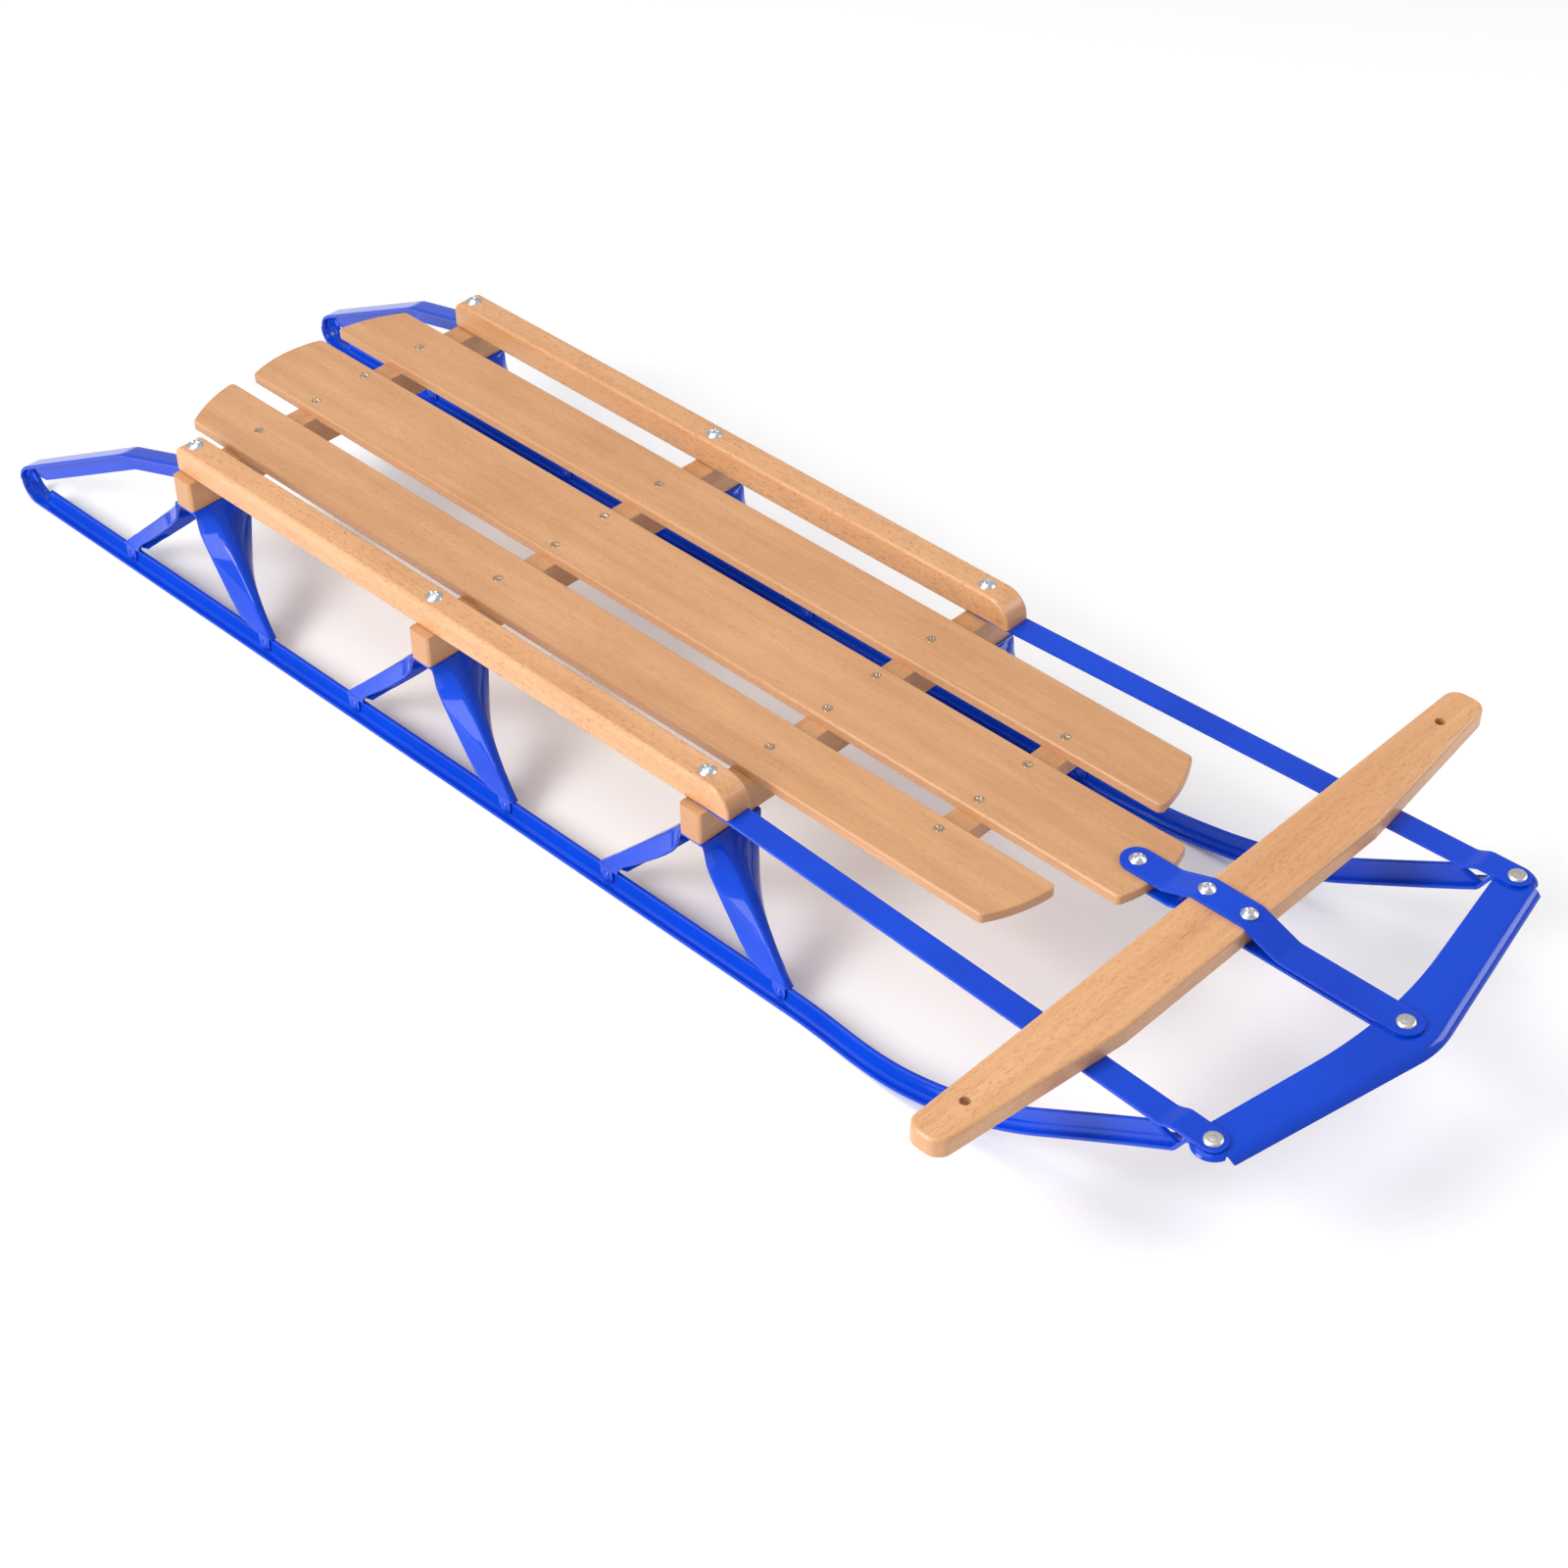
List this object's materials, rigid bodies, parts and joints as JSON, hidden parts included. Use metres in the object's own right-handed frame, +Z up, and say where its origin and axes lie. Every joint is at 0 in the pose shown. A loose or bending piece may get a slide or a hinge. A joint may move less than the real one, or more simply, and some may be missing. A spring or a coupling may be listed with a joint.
{
  "type": "steerable runner sled",
  "caption": "Steerable sled: slatted wooden deck with side rails on pressed steel knees and looped T-section runners, steered by a cross bar that bends the runner fronts.",
  "frame": {"origin": "on the ground, at the middle of the sled's whole box", "axes": "+Z up, -Y towards the front (the bumper), +X towards the rider's left"},
  "size_m": [0.608, 1.3666, 0.1595],
  "materials": {
    "beech": "clear satin lacquer on straight-grained beech with fine flecks",
    "blue_enamel": "glossy royal blue enamel",
    "zinc_plate": "bright zinc plate",
    "rivet_steel": "matt nickel"
  },
  "bodies": {
    "frame": {"slat_left": "beech", "slat_centre": "beech", "slat_right": "beech", "side_rail_left": "beech", "side_rail_right": "beech", "bench_front": "beech", "bench_middle": "beech", "bench_rear": "beech", "front_cleat": "beech", "knee_front_left": "blue_enamel", "knee_front_right": "blue_enamel", "knee_middle_left": "blue_enamel", "knee_middle_right": "blue_enamel", "knee_rear_left": "blue_enamel", "knee_rear_right": "blue_enamel", "runner_left": "blue_enamel", "runner_right": "blue_enamel", "runner_loop_left": "blue_enamel", "runner_loop_right": "blue_enamel", "rail_bolts": "zinc_plate", "rail_nuts": "zinc_plate", "deck_screws": "zinc_plate", "knee_rivets": "blue_enamel"},
    "steering": {"steering_bar": "beech", "steering_strap_upper": "blue_enamel", "steering_strap_lower": "blue_enamel", "bar_bolts": "zinc_plate", "bar_nuts": "zinc_plate", "pivot_bolt": "zinc_plate", "pivot_nut": "zinc_plate", "bumper_rivet_centre": "rivet_steel"},
    "strap_left": {"side_strap_left": "blue_enamel", "bumper_rivet_left": "rivet_steel"},
    "strap_right": {"side_strap_right": "blue_enamel", "bumper_rivet_right": "rivet_steel"},
    "bumper": {"bumper": "blue_enamel"},
    "runner_tip_left": {"runner_front_left": "blue_enamel"},
    "runner_tip_right": {"runner_front_right": "blue_enamel"}
  },
  "joints": [
    {"name": "steer", "type": "hinge", "parent": "frame", "child": "steering", "pos_m": [0, -0.42866, 0.135], "axis": [0, 0, 1], "range_deg": [-8, 8]},
    {"name": "strap_left_swing", "type": "hinge", "parent": "frame", "child": "strap_left", "pos_m": [0.1524, -0.15516, 0.13225], "axis": [0, 0, 1], "range_deg": [-4, 4]},
    {"name": "strap_right_swing", "type": "hinge", "parent": "frame", "child": "strap_right", "pos_m": [-0.1524, -0.15516, 0.13225], "axis": [0, 0, 1], "range_deg": [-4, 4]},
    {"name": "bumper_turn", "type": "hinge", "parent": "strap_left", "child": "bumper", "pos_m": [0.1715, -0.62896, 0.135], "axis": [0, 0, 1], "range_deg": [-3.6, 3.6]},
    {"name": "runner_left_flex", "type": "hinge", "parent": "frame", "child": "runner_tip_left", "pos_m": [0.171, -0.29366, 0.0015], "axis": [0, 0, 1], "range_deg": [-5.6, 5.6]},
    {"name": "runner_right_flex", "type": "hinge", "parent": "frame", "child": "runner_tip_right", "pos_m": [-0.171, -0.29366, 0.0015], "axis": [0, 0, 1], "range_deg": [-5.6, 5.6]}
  ],
  "couplings": [
    {"joint": "strap_left_swing", "follows": "steer", "ratio": 0.48037},
    {"joint": "strap_right_swing", "follows": "steer", "ratio": 0.48037},
    {"joint": "bumper_turn", "follows": "steer", "ratio": -0.42687},
    {"joint": "runner_left_flex", "follows": "steer", "ratio": 0.6788},
    {"joint": "runner_right_flex", "follows": "steer", "ratio": 0.6788}
  ]
}
